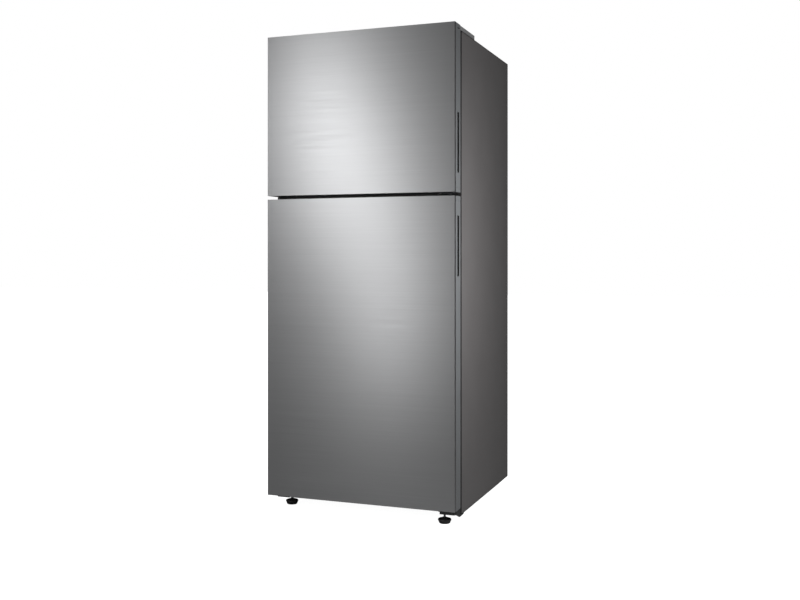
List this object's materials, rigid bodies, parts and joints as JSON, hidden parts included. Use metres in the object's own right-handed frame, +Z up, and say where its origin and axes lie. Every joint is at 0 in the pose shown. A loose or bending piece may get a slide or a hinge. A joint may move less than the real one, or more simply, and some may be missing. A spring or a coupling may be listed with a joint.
{
  "type": "top freezer refrigerator",
  "caption": "Top freezer refrigerator with two right-hinged steel doors, side grips, glass shelves, crisper drawers, door bins and a rear machine space.",
  "frame": {"origin": "centre of the footprint on the floor, at the bottom of the feet and rollers", "axes": "+X to the hinge side, +Y from the doors to the back, +Z up; the doors face -Y"},
  "size_m": [0.7016, 0.743, 1.6986],
  "materials": {
    "steel_front": "brushed",
    "door_trim": "satin",
    "cabinet_paint": "satin",
    "galvanised": "matte",
    "black_steel": "satin",
    "black_plastic": "matte",
    "white_liner": "gloss",
    "gasket": "matte",
    "foam": "matte",
    "shelf_glass": "gloss",
    "clear_plastic": "gloss",
    "aluminium": "satin",
    "copper": "satin"
  },
  "bodies": {
    "cabinet": {"side_panel_left": "cabinet_paint", "side_panel_right": "cabinet_paint", "top_panel": "cabinet_paint", "back_panel": "galvanised", "base_panel": "galvanised", "center_rail": "cabinet_paint", "cabinet_insulation": "foam", "fresh_food_liner": "white_liner", "freezer_liner": "white_liner", "machine_deck": "black_steel", "compressor": "black_steel", "condenser_coil": "copper", "drain_pan": "black_plastic", "rear_cover": "galvanised", "top_hinge": "black_steel", "top_hinge_cover": "door_trim", "middle_hinge": "black_steel", "bottom_hinge": "black_steel", "evaporator_cover": "white_liner", "evaporator_coil": "aluminium", "evaporator_fan_motor": "black_plastic", "freezer_shelf": "shelf_glass", "ice_maker_frame": "white_liner", "air_duct_cover": "white_liner", "control_housing": "white_liner", "shelf_upper": "shelf_glass", "shelf_middle": "shelf_glass", "crisper_cover": "shelf_glass"},
    "freezer_door": {"freezer_door_skin": "steel_front", "freezer_door_trim_left": "door_trim", "freezer_door_trim_right": "door_trim", "freezer_door_cap_top": "door_trim", "freezer_door_cap_bottom": "door_trim", "freezer_door_insulation": "foam", "freezer_door_liner": "white_liner", "freezer_door_gasket": "gasket", "freezer_bin_lower": "clear_plastic", "freezer_bin_upper": "clear_plastic"},
    "fridge_door": {"fridge_door_skin": "steel_front", "fridge_door_trim_left": "door_trim", "fridge_door_trim_right": "door_trim", "fridge_door_cap_top": "door_trim", "fridge_door_cap_bottom": "door_trim", "fridge_door_insulation": "foam", "fridge_door_liner": "white_liner", "fridge_door_gasket": "gasket", "door_bin_lower": "clear_plastic", "door_bin_middle": "clear_plastic", "door_bin_upper": "clear_plastic"},
    "crisper_drawer_left": {"crisper_left": "clear_plastic"},
    "crisper_drawer_right": {"crisper_right": "clear_plastic"},
    "ice_bin_drawer": {"ice_bin": "clear_plastic"},
    "twist_tray": {"ice_tray": "clear_plastic"},
    "fan_wheel": {"evaporator_fan_blade": "black_plastic"},
    "freezer_button_body": {"freezer_button": "door_trim"},
    "fridge_button_body": {"fridge_button": "door_trim"},
    "foot_left": {"front_foot_left": "black_plastic"},
    "foot_right": {"front_foot_right": "black_plastic"},
    "roller_left": {"rear_roller_left": "black_plastic"},
    "roller_right": {"rear_roller_right": "black_plastic"}
  },
  "joints": [
    {"name": "freezer_door_hinge", "type": "hinge", "parent": "cabinet", "child": "freezer_door", "pos_m": [0.32685, -0.333, 1.4115], "axis": [0, 0, 1], "range_deg": [0, 120]},
    {"name": "fridge_door_hinge", "type": "hinge", "parent": "cabinet", "child": "fridge_door", "pos_m": [0.32685, -0.333, 0.58125], "axis": [0, 0, 1], "range_deg": [0, 120]},
    {"name": "crisper_left_slide", "type": "slide", "parent": "cabinet", "child": "crisper_drawer_left", "axis": [0, -1, 0], "range_m": [0, 0.24]},
    {"name": "crisper_right_slide", "type": "slide", "parent": "cabinet", "child": "crisper_drawer_right", "axis": [0, -1, 0], "range_m": [0, 0.24]},
    {"name": "ice_bin_slide", "type": "slide", "parent": "cabinet", "child": "ice_bin_drawer", "axis": [0, -1, 0], "range_m": [0, 0.15]},
    {"name": "ice_tray_twist", "type": "hinge", "parent": "cabinet", "child": "twist_tray", "pos_m": [-0.21485, -0.0475, 1.4969], "axis": [0, 1, 0], "range_deg": [0, 140], "stiffness_Nm_per_rad": 0.2},
    {"name": "evaporator_fan_spin", "type": "hinge", "parent": "cabinet", "child": "fan_wheel", "pos_m": [0, 0.2455, 1.5346], "axis": [0, 1, 0], "continuous": true},
    {"name": "freezer_button_press", "type": "slide", "parent": "cabinet", "child": "freezer_button_body", "axis": [0, 1, 0], "range_m": [0, 0.0015], "stiffness_N_per_m": 800},
    {"name": "fridge_button_press", "type": "slide", "parent": "cabinet", "child": "fridge_button_body", "axis": [0, 1, 0], "range_m": [0, 0.0015], "stiffness_N_per_m": 800},
    {"name": "front_foot_left_turn", "type": "hinge", "parent": "cabinet", "child": "foot_left", "pos_m": [-0.30085, -0.2715, 0.02], "axis": [0, 0, 1], "continuous": true},
    {"name": "front_foot_right_turn", "type": "hinge", "parent": "cabinet", "child": "foot_right", "pos_m": [0.30085, -0.3275, 0.02], "axis": [0, 0, 1], "continuous": true},
    {"name": "rear_roller_left_roll", "type": "hinge", "parent": "cabinet", "child": "roller_left", "pos_m": [-0.28885, 0.3235, 0.018], "axis": [1, 0, 0], "continuous": true},
    {"name": "rear_roller_right_roll", "type": "hinge", "parent": "cabinet", "child": "roller_right", "pos_m": [0.28885, 0.3235, 0.018], "axis": [1, 0, 0], "continuous": true}
  ],
  "couplings": [
    {"joint": "crisper_left_slide", "follows": "fridge_door_hinge", "m_per_rad": 0.11459},
    {"joint": "crisper_right_slide", "follows": "fridge_door_hinge", "m_per_rad": 0.11459},
    {"joint": "ice_bin_slide", "follows": "freezer_door_hinge", "m_per_rad": 0.07161}
  ]
}
